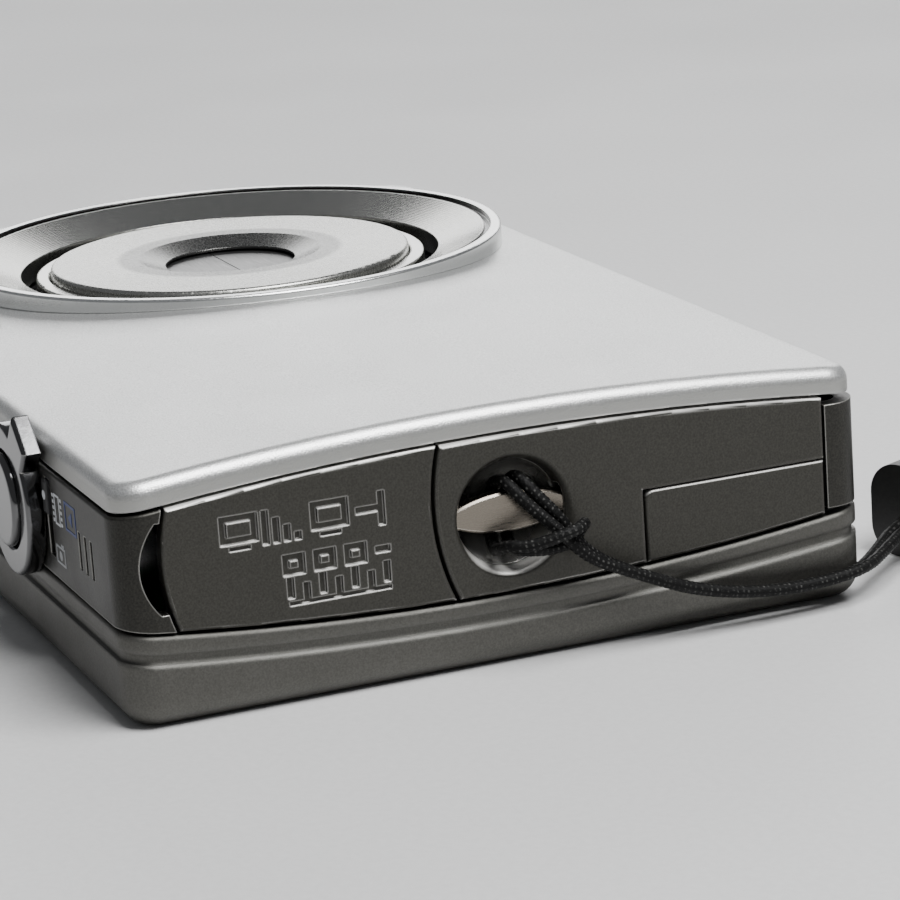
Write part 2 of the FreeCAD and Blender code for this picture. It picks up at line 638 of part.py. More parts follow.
def make_flash():
    pane = common("flash_pane", box("flash_pane_box", ("6.6", "14.4"), ("21.3", "24.7"),
                                    ("15.9", "20")), dome("flash_dome", "0.1"))
    node("flash_window", pane)
    outer = box("reflector_outer", ("6.6", "14.4"), ("21.3", "24.7"), ("11.8", "15.8"))
    inner = box("reflector_inner", ("7.1", "13.9"), ("21.8", "24.2"), ("12.6", "16"))
    node("flash_reflector", cut("flash_reflector", outer, inner))
    node("flash_tube", cylinder("flash_tube", "0.7", "7.2", "13.8", ("23.0", "13.5"), "x"))
    node("flash_capacitor", cylinder("flash_capacitor", "CapacitorRadius", "-32", "-4.5",
                                     ("CapacitorY", "10.6"), "x"))
    node("focus_lamp_lens", common("focus_lamp_lens", cylinder("lamp_rod", "1.2", "14", "20",
                                   ("38.6", "22.4")), dome("lamp_dome", "0.1")))


# ---------------------------------------------------------------- back controls and display

def make_key(name, radius, spot, inner=None):
    cap = cylinder(f"{name}_cap", radius, "KeyFace", "Wall + 0.1", spot)

    def on_face(point):
        return abs(point.z - size("KeyFace")) < 1e-6

    soft = rounded(f"{name}_soft", cap, 0.2, on_face)
    flange = cylinder(f"{name}_flange", f"{radius} + KeyFlange", "Wall + 0.1", "KeyTop", spot)
    whole = fuse(f"{name}_whole" if inner else name, soft, flange)
    if inner:
        whole = cut(name, whole, cylinder(f"{name}_hole", inner, "-1", "3", spot))
    node(name, whole)


def make_back_controls():
    for name, spot in KEYS.items():
        make_key(name, "KeyRadius", spot)
    make_key("navigation_pad", "PadRadius", ("PadX", "PadY"), inner="SetRadius + 0.65")
    make_key("set_button", "SetRadius", ("PadX", "PadY"))
    node("button_board", box("button_board", ("-41", "-7"), ("-24.5", "20"), ("2.35", "3.05")))
    node("lcd_window", box("lcd_window", ("LcdLow", "LcdHigh"), ("LcdBottom", "LcdTop"),
                           ("0", "LcdThick")))
    node("lcd_module", box("lcd_module", ("LcdLow + 0.5", "LcdHigh - 0.5"),
                           ("LcdBottom + 0.5", "LcdTop - 0.5"), ("1.35", "3.1")))


# ---------------------------------------------------------------- inside

def make_inside():
    node("chassis_plate", rounded_box("chassis_plate", ("-41.5", "41.5"), ("-25.5", "25.5"),
                                      ("3.2", "3.75"), 1.5))
    board = box("board_blank", ("-41.3", "-3.0"), ("-25.3", "25.3"), ("4.1", "4.9"))
    chip = box("board_chip", ("-30", "-18"), ("-6", "6"), ("4.8", "5.9"))
    node("main_board", fuse("main_board", board, chip))
    floor = box("bay_floor", ("BatteryLow - 0.8", "BatteryHigh + 0.5"),
                ("BatteryY", "BatteryY + BatteryLong + 1.3"), ("6.35", "BatteryFloor - 0.05"))
    side = box("bay_side", ("BatteryLow - 0.8", "BatteryLow - 0.1"),
               ("BatteryY + 1.7", "BatteryY + BatteryLong + 1.3"), ("6.35", "15.05"))
    end = box("bay_end", ("BatteryLow - 0.8", "BatteryHigh + 0.5"),
              ("BatteryY + BatteryLong + 0.7", "BatteryY + BatteryLong + 1.3"), ("6.35", "12.3"))
    roof = box("card_roof", ("BatteryLow - 0.8", "-6"), ("-23.5", "8"), ("14.65", "15.05"))
    contacts = [box(f"contact{index}", (f"-28 + {index} * 4", f"-26.4 + {index} * 4"),
                    ("BatteryY + BatteryLong + 0.05", "BatteryY + BatteryLong + 0.8"),
                    ("8.2", "11.2")) for index in range(3)]
    node("battery_bay", fuse("battery_bay", floor, side, end, roof, *contacts))
    pack = rounded_box("battery_pack", ("BatteryLow", "BatteryHigh"),
                       ("BatteryY", "BatteryY + BatteryLong"),
                       ("BatteryFloor", "BatteryFloor + BatteryThick"), 1.2)
    node("battery", pack)
    card = box("card_blank", ("-31", "-7"), ("-25.4", "6.6"), ("12.45", "14.55"))
    nick = box("card_nick", ("-9", "-6"), ("4.6", "8"), ("12", "15"))
    node("memory_card", cut("memory_card", card, nick))
    node("speaker", cylinder("speaker", "2.6", "23.2", "25.6", ("-35.9", "10.6"), "y"))
    bush = cylinder("tripod_bush", "TripodOuter", f"-{HALF_Y} + BandInset",
                    f"-{HALF_Y} + BandInset + TripodDeep + 0.8", ("TripodX", "TripodZ"), "y")
    thread = cylinder("tripod_thread", "TripodBore", "-30",
                      f"-{HALF_Y} + BandInset + TripodDeep", ("TripodX", "TripodZ"), "y")
    node("tripod_socket", cut("tripod_socket", bush, thread))


def make_sockets():
    """The two lead sockets behind the terminal cover, their board and the bezel round them."""
    node("jack_board", box("jack_board", ("-41.0", "-35.2"), ("6.4", "23.8"), ("7.1", "7.8")))
    sizes = {"video_socket": ("12.4", "22.6", "7.85", "11.2"),
             "data_socket": ("7.2", "11.6", "7.85", "11.9")}
    bezel = box("bezel_plate", ("-41.9", "-41.2"), ("6.2", "24.0"), ("6.9", "13.4"))
    ports = []
    for name, (low, high, foot, top) in sizes.items():
        can = box(f"{name}_can", ("-41.1", "-35.6"), (low, high), (foot, top))
        room = box(f"{name}_room", ("-45", "-36.2"), (f"{low} + 0.35", f"{high} - 0.35"),
                   (f"{foot} + 0.35", f"{top} - 0.35"))
        tongue = box(f"{name}_tongue", ("-40.4", "-36.0"), (f"{low} + 1.1", f"{high} - 1.1"),
                     (f"({foot} + {top}) / 2 - 0.35", f"({foot} + {top}) / 2 + 0.35"))
        node(name, fuse(name, cut(f"{name}_shell", can, room), tongue))
        ports.append(box(f"{name}_port", ("-45", "-40"), (f"{low} + 0.3", f"{high} - 0.3"),
                         (f"{foot} + 0.3", f"{top} - 0.3")))
    node("jack_bezel", cut("jack_bezel", bezel, *ports))


def make_screws():
    """Two small cross-head case screws in the far end."""
    screws = []
    for index, y in enumerate(SCREW_Y):
        head = cylinder(f"screw_head{index}", "ScrewRadius", "42.0",
                        f"{HALF_X} - BandInset - 0.1", (y, "ShutterZ"), "x")
        across = box(f"screw_slot{index}", ("42.9", "44"), (f"{y} - 0.75", f"{y} + 0.75"),
                     ("ShutterZ - 0.15", "ShutterZ + 0.15"))
        upright = box(f"screw_cross{index}", ("42.9", "44"), (f"{y} - 0.15", f"{y} + 0.15"),
                      ("ShutterZ - 0.75", "ShutterZ + 0.75"))
        screws.append(cut(f"screw{index}", head, across, upright))
    node("case_screws", group("case_screws", *screws))


# ---------------------------------------------------------------- wrist strap

# Both strands of the thin loop pass under the bar, up behind it and down over its front,
# then sag side by side past the corner to the connector.
STRAND_A = [
    (-44.5, 0.35, 7.75), (-42.3, 0.4, 8.1), (-41.1, 0.45, 9.5), (-41.15, 0.45, 12.7),
    (-42.6, 0.4, 13.6), (-44.1, -0.05, 12.9), (-45.2, -2.3, 10.75), (-45.6, -4.5, 9.0),
    (-45.6, -6.9, 7.1), (-45.6, -9.65, 5.1), (-45.6, -12.75, 3.7), (-45.5, -16.05, 2.85),
    (-45.4, -19.5, 2.35), (-45.2, -23.1, 2.3), (-44.8, -26.7, 2.6), (-42.4, -29.6, 2.95),
    (-39.9, -32.3, 3.2), (-37.42, -35.27, 3.2),
]
STRAND_B = [
    (-44.5, -0.75, 7.75), (-42.3, -0.7, 8.1), (-41.1, -0.65, 9.5), (-41.15, -0.65, 12.7),
    (-42.6, -0.7, 13.6), (-44.0, -1.15, 13.0), (-44.5, -3.1, 10.95), (-44.55, -5.1, 8.9),
    (-44.55, -7.2, 6.9), (-44.55, -9.9, 4.9), (-44.55, -12.9, 3.45), (-44.45, -16.2, 2.55),
    (-44.35, -19.6, 2.05), (-44.15, -23.1, 1.95), (-43.7, -26.4, 2.1), (-41.6, -28.9, 2.4),
    (-39.3, -31.4, 3.0), (-36.6, -34.88, 3.2),
]
# The hand loop leaves the connector and comes back to it, flat on the table.
HAND_LOOP = [
    (-32.2, -41.3, 2.4), (-29.0, -48.1, 1.9), (-24.0, -57.5, 1.65), (-18.0, -69.5, 1.65),
    (-13.0, -84.0, 1.65), (-11.0, -100.0, 1.65), (-14.0, -115.5, 1.65), (-22.5, -126.0, 1.65),
    (-33.0, -127.5, 1.65), (-41.0, -120.0, 1.65), (-44.5, -107.0, 1.65), (-44.0, -92.5, 1.65),
    (-42.0, -79.0, 1.65), (-38.5, -67.5, 1.65), (-33.4, -58.5, 1.65), (-32.3, -49.6, 1.9),
    (-35.34, -42.79, 2.4),
]


def tube(name, route, radius):
    """A round cord along straight runs joined by the largest tangent arcs that fit."""
    points = [Vector(*point) for point in route]
    edges, here, bends = [], points[0], []
    for before, corner, after in zip(points, points[1:], points[2:]):
        to_corner, from_corner = corner - before, after - corner
        turn = to_corner.getAngle(from_corner)
        bend = 0.45 * min(to_corner.Length, from_corner.Length) / math.tan(turn / 2)
        reach = bend * math.tan(turn / 2)
        back = Vector(to_corner).normalize()
        ahead = Vector(from_corner).normalize()
        start, end = corner - back * reach, corner + ahead * reach
        inward = (ahead - back).normalize()
        middle = corner + inward * bend * (1 / math.cos(turn / 2) - 1)
        edges.append(Part.LineSegment(here, start).toShape())
        edges.append(Part.Arc(start, middle, end).toShape())
        here = end
        bends.append(bend)
    edges.append(Part.LineSegment(here, points[-1]).toShape())
    path = Part.Wire(edges)
    facing = (points[1] - points[0]).normalize()
    section = Part.Wire(Part.Circle(points[0], facing, radius).toShape())
    solid = path.makePipeShell([section], True, False)
    expected = math.pi * radius**2 * path.Length
    print(f"{name}: length {path.Length:.1f}, least bend {min(bends):.2f}, "
          f"volume {solid.Volume / expected:.4f} of its section times its length")
    obj = doc.addObject("Part::Feature", name)
    obj.Shape = solid
    return node(name, obj)


def make_strap():
    tube("strap_cord_front", STRAND_A, size("CordRadius"))
    tube("strap_cord_rear", STRAND_B, size("CordRadius"))
    tube("hand_loop_cord", HAND_LOOP, size("WristRadius"))
    block = bind(doc.addObject("Part::Box", "connector_block"), Length="ConnectorLong",
                 Width="ConnectorWide", Height="ConnectorTall")

    def along(point):
        across = abs(point.y) < 1e-6 or abs(point.y - size("ConnectorWide")) < 1e-6
        return across and (abs(point.z) < 1e-6 or abs(point.z - size("ConnectorTall")) < 1e-6)

    body = rounded("strap_connector", block, 2.3, along)
    turn = FreeCAD.Rotation(Vector(0, 0, 1), size("ConnectorHeading"))
    centred = FreeCAD.Placement(Vector(0, -size("ConnectorWide") / 2, 0), FreeCAD.Rotation())
    body.Placement = FreeCAD.Placement(Vector(-37.35, -34.35, 0.05), turn) * centred
    node("strap_connector", body)


make_front_shell()
make_back_shell()
make_side_band()
make_terminal_cover()
make_end_panel()
make_cable_flap()
make_battery_door()
make_strap_mount()
make_zoom_lever()
press_cap("shutter_button", "ShutterRadius", "LeverTop - 0.3", "LeverTop + 0.45", "24.2",
          "ShutterX", "ShutterZ", 0.4)
press_cap("power_button", "PowerRadius", "26.3", "27.6", "24.6", "PowerX", "ShutterZ", 0.25)
make_mode_switch()
make_lens_ring()
make_lens_base()
make_barrels()
make_blades()
make_optics()
make_flash()
make_back_controls()
make_inside()
make_sockets()
make_screws()
make_strap()
doc.recompute()

bad = [obj.Name for obj in doc.Objects if "Invalid" in obj.State or "Error" in obj.State]
for name, obj in NODES.items():
    if obj.Shape.isNull() or not obj.Shape.isValid() or not obj.Shape.Solids:
        bad.append(name)
if bad:
    raise RuntimeError(f"not sound: {sorted(set(bad))}")

os.makedirs("parts", exist_ok=True)
for name, obj in NODES.items():
    obj.Shape.exportStep(f"parts/{name}.step")
print(len(NODES), "parts written")
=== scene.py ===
import json
import math

import bmesh
import bpy
from mathutils import Matrix, Vector


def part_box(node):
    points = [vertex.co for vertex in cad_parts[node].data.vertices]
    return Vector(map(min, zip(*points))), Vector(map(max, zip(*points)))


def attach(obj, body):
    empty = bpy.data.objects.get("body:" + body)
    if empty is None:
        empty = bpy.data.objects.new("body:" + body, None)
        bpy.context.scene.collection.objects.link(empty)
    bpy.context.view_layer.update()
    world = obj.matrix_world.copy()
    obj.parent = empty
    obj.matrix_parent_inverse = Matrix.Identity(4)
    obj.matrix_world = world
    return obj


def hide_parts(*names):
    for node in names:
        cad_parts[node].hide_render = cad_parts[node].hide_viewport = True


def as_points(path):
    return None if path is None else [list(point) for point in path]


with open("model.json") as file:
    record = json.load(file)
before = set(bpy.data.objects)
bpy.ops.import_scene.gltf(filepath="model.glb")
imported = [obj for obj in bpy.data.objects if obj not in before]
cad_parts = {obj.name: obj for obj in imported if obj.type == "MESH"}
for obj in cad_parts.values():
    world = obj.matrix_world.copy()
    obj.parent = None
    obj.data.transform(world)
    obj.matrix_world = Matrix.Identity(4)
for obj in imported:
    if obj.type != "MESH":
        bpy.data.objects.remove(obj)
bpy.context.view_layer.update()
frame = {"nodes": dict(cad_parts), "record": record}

MM = 0.001
UM = 0.000001

# ------------------------------------------------------------------ camera

# The place and the lens are in millimetres, the angles in degrees.
CAMERA_AT = Vector((-264.99, 88.87, 79.07)) * MM
CAMERA_AZIMUTH = -111.02
CAMERA_ELEVATION = 14.914
CAMERA_ROLL = -3.915
CAMERA_LENS = 146.12


def make_camera():
    """A camera that looks down at the strap end, across the front to the lens."""
    azimuth, elevation = math.radians(CAMERA_AZIMUTH), math.radians(CAMERA_ELEVATION)
    ahead = Vector((-math.sin(azimuth) * math.cos(elevation),
                    math.cos(azimuth) * math.cos(elevation), -math.sin(elevation)))
    data = bpy.data.cameras.new("camera")
    data.lens = CAMERA_LENS
    data.clip_start = 0.01
    camera = bpy.data.objects.new("camera", data)
    bpy.context.collection.objects.link(camera)
    roll = Matrix.Rotation(math.radians(CAMERA_ROLL), 4, "Z")
    turn = ahead.to_track_quat("-Z", "Y").to_matrix().to_4x4() @ roll
    camera.matrix_world = Matrix.Translation(CAMERA_AT) @ turn
    bpy.context.scene.camera = camera


make_camera()

# ------------------------------------------------------------------ shader helpers

# Metres between the ridges of Blender's wave texture at a scale of 1.
WAVE_PERIOD = math.pi / 10
BEVEL_SAMPLES = 6


class Finish:
    """A material that is built up on one Principled shader."""

    def __init__(self, name, colour, roughness, metallic=0.0, **sockets):
        self.material = bpy.data.materials.new(name)
        self.material.use_nodes = True
        self.nodes = self.material.node_tree.nodes
        self.links = self.material.node_tree.links
        self.shader = self.nodes["Principled BSDF"]
        self.colour = (*colour, 1.0)
        self.set("Base Color", self.colour)
        self.set("Roughness", roughness)
        self.set("Metallic", metallic)
        for socket, value in sockets.items():
            self.set(socket.replace("_", " "), value)
        self.roughness = roughness
        self.paint = self.colour
        self.edge = None
        self.coordinates = self.add("ShaderNodeTexCoord").outputs["Object"]

    def set(self, socket, value):
        self.shader.inputs[socket].default_value = value

    def add(self, kind, **inputs):
        made = self.nodes.new(kind)
        for socket, value in inputs.items():
            made.inputs[socket].default_value = value
        return made

    def link(self, output, target):
        self.links.new(output, target)

    def noise(self, size, detail=2.0, stretch=(1, 1, 1)):
        """Noise whose features are about size metres across."""
        mapping = self.add("ShaderNodeMapping", Scale=stretch)
        self.link(self.coordinates, mapping.inputs["Vector"])
        texture = self.add("ShaderNodeTexNoise", Scale=1 / size, Detail=detail)
        self.link(mapping.outputs["Vector"], texture.inputs["Vector"])
        return texture.outputs["Fac"]

    def spread(self, factor, low, high, start=0.3, stop=0.7):
        """Turn a factor into a number between low and high."""
        fit = self.nodes.new("ShaderNodeMapRange")
        fit.inputs["From Min"].default_value = start
        fit.inputs["From Max"].default_value = stop
        fit.inputs["To Min"].default_value = low
        fit.inputs["To Max"].default_value = high
        self.link(factor, fit.inputs["Value"])
        return fit.outputs["Result"]

    def blend(self, factor, first, second):
        """Mix two colours, each given as numbers or as another node's output."""
        mix = self.nodes.new("ShaderNodeMix")
        mix.data_type = "RGBA"
        for colour, target in ((first, "A"), (second, "B")):
            if isinstance(colour, bpy.types.NodeSocket):
                self.link(colour, mix.inputs[target])
            else:
                mix.inputs[target].default_value = (*colour[:3], 1.0)
        self.link(factor, mix.inputs["Factor"])
        return mix.outputs["Result"]

    def coat_with(self, colour):
        """Take another node's colour as the paint."""
        self.paint = colour
        self.link(colour, self.shader.inputs["Base Color"])

    def tint(self, factor, amount):
        """The colour varies by amount either side of its mean."""
        low = [channel * (1 - amount) for channel in self.colour]
        high = [min(channel * (1 + amount), 1.0) for channel in self.colour]
        self.coat_with(self.blend(factor, low, high))

    def gloss(self, factor, amount):
        """The roughness varies by amount either side of its mean."""
        low, high = max(self.roughness - amount, 0.0), self.roughness + amount
        self.link(self.spread(factor, low, high), self.shader.inputs["Roughness"])

    def relief(self, factor, depth):
        """The surface rises by depth as factor goes from 0 to 1."""
        bump = self.add("ShaderNodeBump", Strength=1.0, Distance=depth)
        self.link(factor, bump.inputs["Height"])
        if self.edge is not None:
            self.link(self.edge, bump.inputs["Normal"])
        self.link(bump.outputs["Normal"], self.shader.inputs["Normal"])

    def softened(self, radius):
        """Sharp edges shade as if they were rounded by radius."""
        bevel = self.add("ShaderNodeBevel", Radius=radius)
        bevel.samples = BEVEL_SAMPLES
        self.edge = bevel.outputs["Normal"]
        return self

    def worn(self, colour, amount):
        """Edges wear towards colour; comes after softened and grain."""
        surface = self.nodes.new("ShaderNodeNewGeometry")
        match = self.nodes.new("ShaderNodeVectorMath")
        match.operation = "DOT_PRODUCT"
        self.link(self.edge, match.inputs[0])
        self.link(surface.outputs["Normal"], match.inputs[1])
        wear_and_highlight_mask = self.spread(match.outputs["Value"], amount, 0.0, start=0.88, stop=0.995)
        self.coat_with(self.blend(wear_and_highlight_mask, self.paint, colour))
        return self

    def rise_of_face(self):
        """How far a face looks up in the part's own frame: 0 on a wall, 1 on a top."""
        facing = self.nodes.new("ShaderNodeSeparateXYZ")
        self.link(self.add("ShaderNodeTexCoord").outputs["Normal"], facing.inputs["Vector"])
        return facing.outputs["Z"]

    def painted_highlight_above(self, colour, amount):
        """Faces that look up carry a painted highlight towards colour."""
        wear_and_highlight_mask = self.spread(self.rise_of_face(), 0.0, amount, start=0.35, stop=0.75)
        self.coat_with(self.blend(wear_and_highlight_mask, self.paint, colour))
        return self

    def painted_shade_on_walls(self, colour):
        """Painted shade: upright walls are painted darker, towards colour, than faces that look up.
        """
        wall_shade = self.spread(self.rise_of_face(), 1.0, 0.0, start=0.05, stop=0.45)
        self.coat_with(self.blend(wall_shade, self.paint, colour))
        return self

    def both(self, first, second):
        """Where two factors hold together."""
        product = self.nodes.new("ShaderNodeMath")
        product.operation = "MULTIPLY"
        self.link(first, product.inputs[0])
        self.link(second, product.inputs[1])
        return product.outputs["Value"]

    def ridged(self, axis, pitch, depth):
        """Even ridges across one axis."""
        ridges = self.add("ShaderNodeTexWave", Scale=WAVE_PERIOD / pitch, Distortion=0.0)
        ridges.bands_direction = axis
        self.link(self.coordinates, ridges.inputs["Vector"])
        self.relief(ridges.outputs["Fac"], depth)
        return self

    def distance_from(self, centre):
        """Distance in metres from an upright axis through centre."""
        mapping = self.add("ShaderNodeMapping", Location=(-centre[0], -centre[1], 0.0),
                           Scale=(1.0, 1.0, 0.0))
        self.link(self.coordinates, mapping.inputs["Vector"])
        length = self.nodes.new("ShaderNodeVectorMath")
        length.operation = "LENGTH"
        self.link(mapping.outputs["Vector"], length.inputs[0])
        return length.outputs["Value"]

    def grain(self, size, depth, tint, gloss):
        """Even grain of one size, with broad, faint handling marks in the gloss."""
        fine = self.noise(size)
        self.tint(self.spread(fine, 0.0, 1.0), tint)
        self.gloss(self.noise(60 * size, 4.0), gloss)
        self.relief(fine, depth)
        return self

    def brushed(self, stretch, size, depth, tint, gloss):
        """Long fine scratches; stretch is small along them."""
        lines = self.noise(size, 3.0, stretch)
        self.tint(self.spread(lines, 0.0, 1.0), tint)
        self.gloss(lines, gloss)
        self.relief(lines, depth)
        return self

    def turned(self, centre, pitch, depth):
        """Fine rings about an upright axis through centre."""
        mapping = self.add("ShaderNodeMapping", Location=(-centre[0], -centre[1], 0.0))
        self.link(self.coordinates, mapping.inputs["Vector"])
        rings = self.add("ShaderNodeTexWave", Scale=WAVE_PERIOD / pitch, Distortion=0.0)
        rings.wave_type = "RINGS"
        rings.rings_direction = "Z"
        self.link(mapping.outputs["Vector"], rings.inputs["Vector"])
        self.gloss(self.noise(0.2 * MM), 0.05)
        self.relief(rings.outputs["Fac"], depth)
        return self


def middle_of(node):
    """The middle of a node's box, in metres."""
    low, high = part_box(node)
    return [(near + far) / 2 for near, far in zip(low, high)]


LENS_AXIS = middle_of("lens_ring")[:2]


def circuit_board(name):
    """Green solder mask with paler copper tracks under it."""
    finish = Finish(name, (0.02, 0.12, 0.05), roughness=0.35, Coat_Weight=0.4)
    cells = finish.add("ShaderNodeTexVoronoi", Scale=700.0)
    cells.feature = "DISTANCE_TO_EDGE"
    cells.distance = "MANHATTAN"
    finish.link(finish.coordinates, cells.inputs["Vector"])
    track = finish.spread(cells.outputs["Distance"], 1.0, 0.0, start=0.02, stop=0.05)
    finish.coat_with(finish.blend(track, finish.colour, (0.06, 0.26, 0.10)))
    finish.relief(track, 30 * UM)
    return finish


def ribbed_window(name):
    """Clear moulding with the ridges that spread a flash's light."""
    finish = Finish(name, (0.92, 0.93, 0.92), roughness=0.12, Transmission_Weight=0.85, IOR=1.49)
    finish.ridged("Y", 0.5 * MM, 0.12 * MM)
    finish.gloss(finish.noise(0.4 * MM), 0.05)
    return finish


def barrel_face(name):
    """Turned front of the lens: a paler outer band round a darker dish."""
    finish = Finish(name, (0.36, 0.36, 0.34), roughness=0.27, metallic=1.0).softened(0.12 * MM)
    finish.turned(LENS_AXIS, 0.16 * MM, 4 * UM)
    dish = finish.spread(finish.distance_from(LENS_AXIS), 0.0, 1.0, start=9.0 * MM,
                         stop=9.6 * MM)
    finish.coat_with(finish.blend(dish, (0.15, 0.15, 0.145), (0.42, 0.42, 0.40)))
    return finish


def ring_face(name):
    """Metal ring inside a lip in the shell's colour, with painted shade for the gap between them.
    """
    finish = Finish(name, (0.42, 0.42, 0.40), roughness=0.22, metallic=1.0).softened(0.15 * MM)
    finish.turned(LENS_AXIS, 0.20 * MM, 4 * UM)
    radius = finish.distance_from(LENS_AXIS)
    lip = finish.spread(radius, 0.0, 1.0, start=21.80 * MM, stop=21.90 * MM)
    inner_edge = finish.spread(radius, 0.0, 1.0, start=21.22 * MM, stop=21.30 * MM)
    outer_edge = finish.spread(radius, 1.0, 0.0, start=21.80 * MM, stop=21.88 * MM)
    finish.coat_with(finish.blend(lip, finish.colour, (0.80, 0.81, 0.80)))
    # Painted shade: a dark band where the gap between lip and ring falls.
    painted_gap_shade = finish.both(inner_edge, outer_edge)
    finish.coat_with(finish.blend(painted_gap_shade, finish.paint, (0.03, 0.03, 0.03)))
    return finish


def yarn(name):
    """Black yarn with painted highlights where a mesh's braid rises."""
    finish = Finish(name, (0.004, 0.004, 0.004), roughness=0.50, Specular_IOR_Level=0.12)
    finish.grain(0.06 * MM, 24 * UM, tint=0.6, gloss=0.12)
    # Painted highlight: pale specks on the braid's raised crossings, in patches.
    rise = finish.nodes.new("ShaderNodeAttribute")
    rise.attribute_name = "braid"
    raised = finish.spread(rise.outputs["Fac"], 0.0, 1.0, start=0.25, stop=0.95)
    patches = finish.spread(finish.noise(0.22 * MM, 3.0), 0.0, 1.0, start=0.44, stop=0.60)
    painted_glint = finish.both(raised, patches)
    finish.coat_with(finish.blend(painted_glint, finish.paint, (0.11, 0.11, 0.105)))
    return finish


def display_panel(name, border):
    """Black glass whose lit area, inside a border, shows through a shade paler."""
    finish = Finish(name, (0.006, 0.006, 0.008), roughness=0.06, Coat_Weight=1.0,
                    Coat_Roughness=0.03)
    finish.grain(4 * MM, 0.5 * UM, tint=0.20, gloss=0.03)
    parts = finish.nodes.new("ShaderNodeSeparateXYZ")
    finish.link(finish.coordinates, parts.inputs["Vector"])
    mask = None
    for axis, low, high, margin in zip("XY", *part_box("lcd_window"), border):
        for edge, outside in ((low + margin, -0.1 * MM), (high - margin, 0.1 * MM)):
            side = finish.spread(parts.outputs[axis], 1.0, 0.0, start=edge, stop=edge + outside)
            mask = side if mask is None else finish.both(mask, side)
    finish.coat_with(finish.blend(mask, finish.paint, (0.022, 0.025, 0.032)))
    return finish


SHELL_EDGE = (0.90, 0.91, 0.90)
BACK_EDGE = (0.36, 0.36, 0.34)
BAND_EDGE = (0.72, 0.71, 0.67)
STEEL_EDGE = (0.95, 0.90, 0.82)
# Bare metal at worn edges, and the colour of the painted highlight on faces that look up.
BARE_METAL_AND_HIGHLIGHT = (0.78, 0.77, 0.74)


def panel_paint(name, highlight_above, edges):
    """Dark satin paint whose faces that look up, such as its upper edges, carry a painted
    highlight, and whose every corner is worn to metal, less strongly.
    """
    finish = Finish(name, (0.040, 0.0385, 0.033), roughness=0.42, metallic=0.6).softened(0.20 * MM)
    finish.grain(0.14 * MM, 14 * UM, tint=0.22, gloss=0.05)
    return finish.worn(BARE_METAL_AND_HIGHLIGHT, edges).painted_highlight_above(BARE_METAL_AND_HIGHLIGHT, highlight_above)


